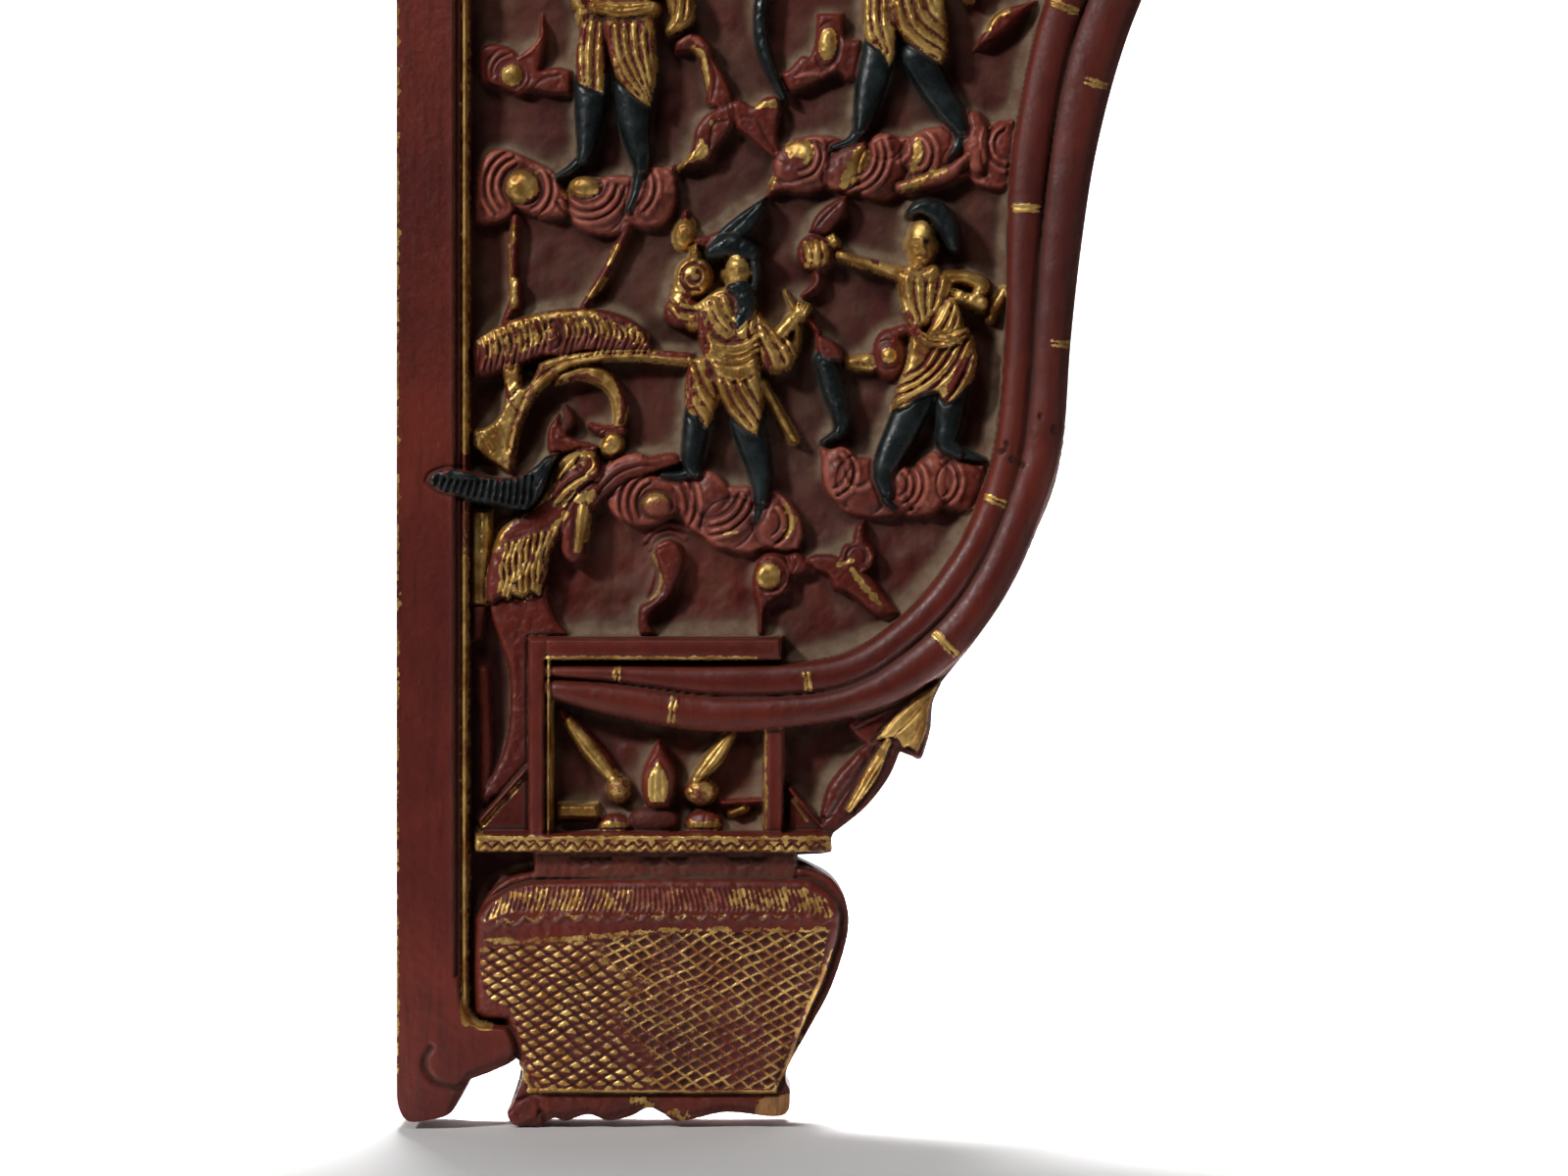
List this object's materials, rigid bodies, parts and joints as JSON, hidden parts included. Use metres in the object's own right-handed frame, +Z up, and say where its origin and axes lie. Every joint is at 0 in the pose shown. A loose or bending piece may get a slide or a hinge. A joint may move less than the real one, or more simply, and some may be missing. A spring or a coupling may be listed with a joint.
{
  "type": "carved corner bracket",
  "caption": "Carved wooden corner bracket in red lacquer and gilt, with figures and clouds in relief inside a bamboo border over a basket foot.",
  "frame": {"origin": "on the stile's outer side face, halfway up the bracket and halfway through the board", "axes": "+Z up, +X away from the post along the beam, -Y out of the carved front"},
  "size_m": [0.356, 0.0418, 0.5601],
  "materials": {
    "red_lacquer": "worn red lacquer on wood, gilt on the raised carving, black on dark details"
  },
  "bodies": {
    "root": {"carved_bracket": "red_lacquer"}
  },
  "joints": []
}
